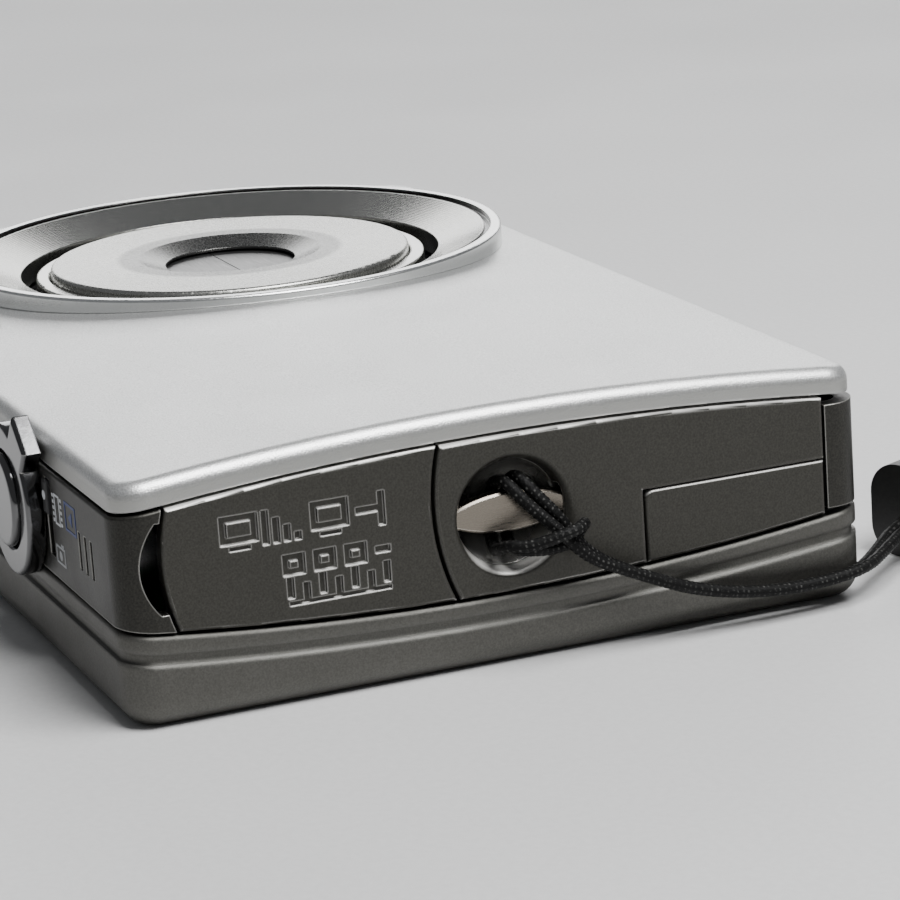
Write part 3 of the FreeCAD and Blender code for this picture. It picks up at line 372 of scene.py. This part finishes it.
FINISHES = {
    # The satin silver's upright walls carry painted shade.
    "silver_shell": Finish("satin_silver", (0.68, 0.685, 0.68), roughness=0.36, metallic=0.85)
    .softened(0.30 * MM).grain(0.12 * MM, 24 * UM, tint=0.22, gloss=0.02)
    .painted_shade_on_walls((0.36, 0.36, 0.345)).worn(SHELL_EDGE, 0.6),
    "silver_back": Finish("satin_silver_grey", (0.094, 0.092, 0.084), roughness=0.44, metallic=0.85)
    .softened(0.60 * MM).grain(0.13 * MM, 14 * UM, tint=0.16, gloss=0.05).worn(BACK_EDGE, 0.15),
    "grey_band": Finish("satin_dark_grey", (0.028, 0.027, 0.0235), roughness=0.40, metallic=0.7)
    .softened(0.16 * MM).grain(0.14 * MM, 16 * UM, tint=0.30, gloss=0.05).worn(BAND_EDGE, 0.5),
    "grey_rubber": Finish("soft_grey", (0.042, 0.0405, 0.035), roughness=0.42, metallic=0.6)
    .softened(0.16 * MM).grain(0.14 * MM, 14 * UM, tint=0.22, gloss=0.05).worn(BAND_EDGE, 0.9),
    "polished_steel": Finish("polished_steel", (0.20, 0.178, 0.15), roughness=0.27, metallic=1.0)
    .softened(0.10 * MM).brushed((1, 0.08, 1), 0.08 * MM, 3 * UM, tint=0.06, gloss=0.06)
    .worn(STEEL_EDGE, 0.8),
    "steel": Finish("plain_steel", (0.55, 0.55, 0.56), roughness=0.34, metallic=1.0)
    .brushed((0.05, 1, 1), 0.12 * MM, 4 * UM, tint=0.08, gloss=0.08),
    "chrome": Finish("smoked_chrome", (0.13, 0.13, 0.132), roughness=0.10, metallic=1.0)
    .softened(0.15 * MM).grain(0.6 * MM, 2 * UM, tint=0.03, gloss=0.03).worn(BAND_EDGE, 0.6),
    "lens_chrome": Finish("turned_metal", (0.58, 0.58, 0.56), roughness=0.22, metallic=1.0)
    .softened(0.15 * MM).turned(LENS_AXIS, 0.18 * MM, 5 * UM),
    "black_plastic": Finish("black_moulding", (0.014, 0.014, 0.015), roughness=0.46)
    .grain(0.2 * MM, 10 * UM, tint=0.25, gloss=0.08),
    "blade": Finish("blade_metal", (0.10, 0.10, 0.10), roughness=0.34, metallic=0.85)
    .brushed((0.06, 1, 1), 0.14 * MM, 4 * UM, tint=0.15, gloss=0.08),
    "coated_glass": Finish("coated_glass", (0.10, 0.12, 0.22), roughness=0.03,
                           Transmission_Weight=0.6, IOR=1.6, Coat_Weight=1.0,
                           Coat_Roughness=0.02)
    .grain(2 * MM, 0.5 * UM, tint=0.10, gloss=0.01),
    "sensor": Finish("sensor_face", (0.06, 0.09, 0.13), roughness=0.12, metallic=0.4,
                     Coat_Weight=1.0)
    .brushed((1, 0.02, 1), 0.05 * MM, 1 * UM, tint=0.4, gloss=0.04),
    "board": circuit_board("solder_mask"),
    "clear_window": ribbed_window("ribbed_window"),
    "key": Finish("satin_key", (0.42, 0.42, 0.41), roughness=0.33, metallic=0.85)
    .softened(0.12 * MM).grain(0.1 * MM, 4 * UM, tint=0.06, gloss=0.05),
    "display_glass": display_panel("display_glass", border=(3.0 * MM, 4.5 * MM)),
    "battery_grey": Finish("battery_wrap", (0.10, 0.10, 0.11), roughness=0.30)
    .grain(0.4 * MM, 4 * UM, tint=0.10, gloss=0.06),
    "brass": Finish("plain_brass", (0.62, 0.48, 0.24), roughness=0.28, metallic=1.0)
    .grain(0.2 * MM, 4 * UM, tint=0.08, gloss=0.08),
    "card_blue": Finish("card_moulding", (0.03, 0.06, 0.17), roughness=0.42)
    .grain(0.2 * MM, 6 * UM, tint=0.10, gloss=0.06),
    "black_cord": yarn("braided_yarn"),
    "black_rubber": Finish("connector_moulding", (0.012, 0.012, 0.012), roughness=0.48)
    .grain(0.25 * MM, 12 * UM, tint=0.25, gloss=0.08),
}

for part in frame["record"]["subparts"]:
    finish = FINISHES[part["material_slot"]]
    frame["nodes"][part["node"]].material_slots[0].material = finish.material

# Parts whose look differs from the rest of their slot.
NODE_FINISHES = {
    # The cup lining's faces that look up, in its lower bowl, carry a painted highlight.
    "strap_cup": Finish("cup_lining", (0.10, 0.098, 0.09), roughness=0.26, metallic=0.8,
                        Coat_Weight=0.6, Coat_Roughness=0.18)
    .softened(0.30 * MM).grain(0.14 * MM, 12 * UM, tint=0.16, gloss=0.05)
    .painted_highlight_above(BARE_METAL_AND_HIGHLIGHT, 0.9),
    "terminal_cover": panel_paint("cover_paint", highlight_above=1.0, edges=0.40),
    "strap_end_panel": panel_paint("end_panel_paint", highlight_above=1.0, edges=0.75),
    "dc_cable_flap": panel_paint("flap_paint", highlight_above=0.55, edges=0.45),
    "lens_ring": ring_face("ring_metal"),
    "tripod_socket": Finish("threaded_brass", (0.62, 0.48, 0.24), roughness=0.28, metallic=1.0)
    .ridged("Y", 1.27 * MM, 0.4 * MM),
    "barrier_cover": barrel_face("barrel_front"),
}
for node, finish in NODE_FINISHES.items():
    frame["nodes"][node].material_slots[0].material = finish.material

# ------------------------------------------------------------------ strap cords

# The loop is hitched on the bar. Each strand starts in the middle of the bight, which crosses
# in front of the two tails, goes under the bar, up behind it and down over its front.
STRAND_FRONT = [
    (-45.6, -4.75, 9.75), (-46.2, -4.25, 9.7), (-46.35, -3.1, 9.5), (-46.0, -1.8, 9.1),
    (-45.5, -0.5, 8.8), (-44.8, 0.4, 8.9), (-43.7, 0.75, 8.45), (-42.3, 0.6, 8.0),
    (-41.1, 0.4, 9.5), (-41.15, 0.1, 12.3), (-42.4, -0.2, 12.95), (-43.5, -0.45, 12.6),
    (-44.1, -1.15, 11.6), (-44.6, -2.1, 10.55), (-45.1, -3.1, 9.5), (-45.5, -4.2, 8.15),
    (-45.6, -5.5, 7.05), (-45.6, -7.4, 6.1), (-45.6, -9.9, 4.95), (-45.6, -12.85, 3.7),
    (-45.5, -16.05, 2.85), (-45.4, -19.5, 2.35), (-45.2, -23.1, 2.3), (-44.8, -26.7, 2.6),
    (-42.4, -29.6, 2.95), (-39.9, -32.3, 3.2), (-37.42, -35.27, 3.2),
]
STRAND_REAR = [
    (-45.6, -4.75, 9.75), (-44.9, -5.2, 9.6), (-44.4, -5.1, 9.2), (-44.2, -4.6, 8.2),
    (-44.1, -3.0, 7.9), (-44.2, -1.4, 8.1), (-43.5, -0.6, 8.1), (-42.3, -0.6, 8.0),
    (-41.15, -0.75, 9.5), (-41.15, -1.05, 12.3), (-42.3, -1.3, 13.1), (-43.4, -1.5, 12.75),
    (-43.95, -2.1, 11.9), (-44.35, -2.9, 10.9), (-44.55, -3.65, 9.9), (-44.65, -4.35, 8.75),
    (-44.65, -5.3, 7.55), (-44.6, -6.5, 6.6), (-44.55, -8.0, 5.75), (-44.55, -10.2, 4.65),
    (-44.55, -13.0, 3.4), (-44.45, -16.2, 2.55), (-44.35, -19.6, 2.05), (-44.15, -23.1, 1.95),
    (-43.7, -26.4, 2.1), (-41.6, -28.9, 2.4), (-39.3, -31.4, 3.0), (-36.6, -34.88, 3.2),
]
HAND_LOOP = [
    (-32.2, -41.3, 2.4), (-29.0, -48.1, 1.9), (-24.0, -57.5, 1.65), (-18.0, -69.5, 1.65),
    (-13.0, -84.0, 1.65), (-11.0, -100.0, 1.65), (-14.0, -115.5, 1.65), (-22.5, -126.0, 1.65),
    (-33.0, -127.5, 1.65), (-41.0, -120.0, 1.65), (-44.5, -107.0, 1.65), (-44.0, -92.5, 1.65),
    (-42.0, -79.0, 1.65), (-38.5, -67.5, 1.65), (-33.4, -58.5, 1.65), (-32.3, -49.6, 1.9),
    (-35.34, -42.79, 2.4),
]
THIN_CORD = 0.86 * MM
WRIST_CORD = 3.2 * MM
PLAITS = 8
CORD_SIDES = 24
# The braid's lowest points and its rise, as shares of the cord's radius.
BRAID_VALLEY = 0.90
BRAID_RISE = 0.16
BAR_SPOT = (-42.53 * MM, -0.5 * MM, 10.75 * MM)
CONNECTOR_SPOT = (-33.6 * MM, -42.2 * MM, 3.0 * MM)


def cord_line(name, route, steps):
    """Points along the smooth curve that the route's points control."""
    curve = bpy.data.curves.new(f"{name}_line", "CURVE")
    curve.dimensions = "3D"
    curve.resolution_u = steps
    spline = curve.splines.new("NURBS")
    spline.points.add(len(route) - 1)
    for point, spot in zip(spline.points, route):
        point.co = (*(Vector(spot) * MM), 1.0)
    spline.order_u = 3
    spline.use_endpoint_u = True
    guide = bpy.data.objects.new(f"{name}_line", curve)
    mesh = bpy.data.meshes.new_from_object(guide)
    points = [vertex.co.copy() for vertex in mesh.vertices]
    bpy.data.objects.remove(guide)
    bpy.data.meshes.remove(mesh)
    return points


def braided_cord(name, route, diameter, steps, plaits, stitch):
    """A cord whose skin is raised where the strands of a round braid cross."""
    line = cord_line(name, route, steps)
    mesh = bmesh.new()
    braid = mesh.verts.layers.float.new("braid")
    tangent = (line[1] - line[0]).normalized()
    across = tangent.orthogonal().normalized()
    travelled, rings = 0.0, []
    for index, centre in enumerate(line):
        ahead = line[min(index + 1, len(line) - 1)] - line[max(index - 1, 0)]
        turn = tangent.rotation_difference(ahead.normalized())
        tangent, across = ahead.normalized(), turn @ across
        up = tangent.cross(across)
        if index:
            travelled += (centre - line[index - 1]).length
        ring = []
        for side in range(CORD_SIDES):
            angle = 2 * math.pi * side / CORD_SIDES
            first = plaits * angle / 2 + math.pi * travelled / stitch
            second = plaits * angle / 2 - math.pi * travelled / stitch
            crossing = math.sin(first) * math.sin(second)
            radius = diameter / 2 * (BRAID_VALLEY + BRAID_RISE * abs(crossing))
            offset = across * math.cos(angle) + up * math.sin(angle)
            ring.append(mesh.verts.new(centre + offset * radius))
            ring[-1][braid] = max(crossing, 0.0)
        rings.append(ring)
    for near, far in zip(rings, rings[1:]):
        for side in range(CORD_SIDES):
            after = (side + 1) % CORD_SIDES
            mesh.faces.new((near[side], near[after], far[after], far[side]))
    mesh.faces.new(reversed(rings[0]))
    mesh.faces.new(rings[-1])
    return add_piece(name, mesh, FINISHES["black_cord"]), line


def add_piece(name, mesh, finish, smooth=True, body="root"):
    """Turn a bmesh into a piece with a finish that rides on a body."""
    bmesh.ops.recalc_face_normals(mesh, faces=mesh.faces)
    data = bpy.data.meshes.new(name)
    mesh.to_mesh(data)
    mesh.free()
    for face in data.polygons:
        face.use_smooth = smooth
    data.materials.append(finish.material)
    piece = bpy.data.objects.new(name, data)
    bpy.context.collection.objects.link(piece)
    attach(piece, body)
    return piece


def length_of(line):
    """The length of a line of points, in metres."""
    return sum((far - near).length for near, far in zip(line, line[1:]))


for name, node, route, diameter, spot, steps, stitch in (
    ("front_strand", "strap_cord_front", STRAND_FRONT, THIN_CORD, BAR_SPOT, 20, 0.42 * MM),
    ("rear_strand", "strap_cord_rear", STRAND_REAR, THIN_CORD, BAR_SPOT, 20, 0.42 * MM),
    ("hand_loop", "hand_loop_cord", HAND_LOOP, WRIST_CORD, CONNECTOR_SPOT, 32, 1.6 * MM),
):
    cord, line = braided_cord(name, route, diameter, steps, PLAITS, stitch)
    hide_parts(node)
    length_of(line)
    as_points(line)

# ------------------------------------------------------------------ printed marks

# The inks, by the material slot that each mark takes its finish from.
PRINTS = {
    "silver_shell": Finish("pale_ink", (0.62, 0.64, 0.66), roughness=0.55)
    .grain(0.08 * MM, 2 * UM, tint=0.12, gloss=0.05),
    "silver_back": Finish("dim_ink", (0.34, 0.35, 0.36), roughness=0.55)
    .grain(0.08 * MM, 2 * UM, tint=0.12, gloss=0.05),
    "card_blue": Finish("blue_ink", (0.015, 0.035, 0.16), roughness=0.50)
    .grain(0.08 * MM, 2 * UM, tint=0.15, gloss=0.05),
}
INK_THICKNESS = 0.03 * MM
DISC_STEPS = 20
# Sizes of the marks below, in millimetres.
FINE_LINE = 0.16
DOT = (0.34,)
PAD_SPOT = 6.6
SIDE = {"out": Vector((0, 1, 0)), "right": Vector((1, 0, 0)), "up": Vector((0, 0, 1))}
REAR = {"out": Vector((0, 0, -1)), "right": Vector((-1, 0, 0)), "up": Vector((0, 1, 0))}


def outline(shape, *sizes):
    """Corner points of a flat mark about its middle, in millimetres."""
    if shape == "bar":
        wide, tall = sizes[0] / 2, sizes[1] / 2
        return [(-wide, -tall), (wide, -tall), (wide, tall), (-wide, tall)]
    if shape == "triangle":
        half = sizes[0] / 2
        return [(-half * 0.8, -half), (half, 0.0), (-half * 0.8, half)]
    angles = [2 * math.pi * step / DISC_STEPS for step in range(DISC_STEPS)]
    return [(sizes[0] * math.cos(turn), sizes[0] * math.sin(turn)) for turn in angles]


def frame_bars(wide, tall, line):
    """The four bars of an open rectangle, as marks."""
    for sign in (-1, 1):
        yield ("bar", (0.0, sign * (tall - line) / 2), (wide, line))
        yield ("bar", (sign * (wide - line) / 2, 0.0), (line, tall - 2 * line))


def print_marks(name, slot, face, at, marks, body="root"):
    """Lay thin raised ink marks on a face; at is the mark's middle in millimetres."""
    mesh = bmesh.new()
    for shape, spot, sizes in marks:
        low, high = [], []
        for across, rise in outline(shape, *sizes):
            point = (Vector(at) + face["right"] * (across + spot[0])
                     + face["up"] * (rise + spot[1])) * MM
            low.append(mesh.verts.new(point - face["out"] * INK_THICKNESS / 2))
            high.append(mesh.verts.new(point + face["out"] * INK_THICKNESS))
        mesh.faces.new(reversed(low))
        mesh.faces.new(high)
        for index in range(len(low)):
            after = (index + 1) % len(low)
            mesh.faces.new((low[index], low[after], high[after], high[index]))
    piece = add_piece(name, mesh, PRINTS[slot], smooth=False, body=body)


def film_marks():
    """A strip of film with a row of holes down each side."""
    pitch = 0.44
    yield from frame_bars(1.2, 2.2, FINE_LINE)
    for sign in (-1, 1):
        for row in range(-2, 3):
            yield ("bar", (sign * 0.95, pitch * row), (0.34, 0.24))


def screen_marks():
    """A screen with a play triangle in it."""
    yield from frame_bars(2.6, 2.1, 0.20)
    yield ("triangle", (0.05, 0.0), (1.0,))


def camera_marks():
    """A camera's front: body, lens and shutter button."""
    yield from frame_bars(2.2, 1.35, 0.18)
    yield ("disc", (0.0, 0.0), (0.36,))
    yield ("bar", (-0.55, 0.8), (0.6, 0.22))


BAND_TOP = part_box("side_band")[1][1] / MM
SWITCH_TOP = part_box("mode_switch")[1][1] / MM
SWITCH_MIDDLE = middle_of("mode_switch")[0] / MM
print_marks("film_mark", "silver_shell", SIDE, (-29.5, BAND_TOP, 12.3), film_marks())
print_marks("still_mark", "silver_back", SIDE, (-29.45, BAND_TOP, 9.0), camera_marks())
print_marks("review_mark", "card_blue", SIDE, (-32.7, BAND_TOP, 12.4), screen_marks())
print_marks("switch_dot", "silver_shell", SIDE, (SWITCH_MIDDLE, SWITCH_TOP, 12.95),
            [("disc", (0, 0), DOT)], body="mode_switch")


def key_face(node):
    """The middle of a key's rear face, in millimetres."""
    across, up, _ = middle_of(node)
    return (across / MM, up / MM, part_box(node)[0][2] / MM)


print_marks("play_sign", "silver_shell", REAR, key_face("playback_button"),
            [*frame_bars(2.2, 1.7, FINE_LINE), ("triangle", (0.0, 0.0), (0.8,))],
            body="playback_button")
print_marks("menu_sign", "silver_shell", REAR, key_face("menu_button"),
            [("bar", (0.0, 0.5 * row), (1.8, 0.2)) for row in (-1, 0, 1)], body="menu_button")
print_marks("display_sign", "silver_shell", REAR, key_face("display_button"),
            [*frame_bars(2.2, 1.5, FINE_LINE), ("bar", (0.0, -0.25), (1.3, 0.18))],
            body="display_button")
print_marks("pad_signs", "silver_shell", REAR, key_face("navigation_pad"),
            [("disc", (PAD_SPOT * across, PAD_SPOT * up), DOT)
             for across, up in ((1, 0), (-1, 0), (0, 1), (0, -1))], body="navigation_pad")

# ------------------------------------------------------------------ floor and light

FLOOR_REACH = 3.0
SKY = (0.80, 0.82, 0.85, 1.0)
SKY_STRENGTH = 0.22


def make_floor():
    mesh = bmesh.new()
    bmesh.ops.create_grid(mesh, x_segments=4, y_segments=4, size=FLOOR_REACH)
    data = bpy.data.meshes.new("floor")
    mesh.to_mesh(data)
    mesh.free()
    finish = Finish("pale_floor", (0.62, 0.62, 0.62), roughness=0.55)
    finish.grain(0.6 * MM, 20 * UM, tint=0.03, gloss=0.05)
    data.materials.append(finish.material)
    floor = bpy.data.objects.new("floor", data)
    bpy.context.collection.objects.link(floor)


def area_light(name, at, toward, width, height, power):
    data = bpy.data.lights.new(name, "AREA")
    data.shape = "RECTANGLE"
    data.size, data.size_y = width, height
    data.energy = power
    light = bpy.data.objects.new(name, data)
    bpy.context.collection.objects.link(light)
    aim = Vector(toward) - Vector(at)
    turn = aim.to_track_quat("-Z", "Y").to_matrix().to_4x4()
    light.matrix_world = Matrix.Translation(at) @ turn


make_floor()
area_light("overhead", at=(-0.22, -0.12, 0.46), toward=(-0.02, 0.0, 0.0), width=0.30,
           height=0.32, power=5.0)
area_light("behind", at=(0.60, -0.25, 0.22), toward=(0.0, 0.0, 0.02), width=0.60,
           height=0.25, power=1.6)
world = bpy.data.worlds.new("studio")
world.use_nodes = True
sky = world.node_tree.nodes["Background"].inputs
sky["Color"].default_value = SKY
sky["Strength"].default_value = SKY_STRENGTH
bpy.context.scene.world = world
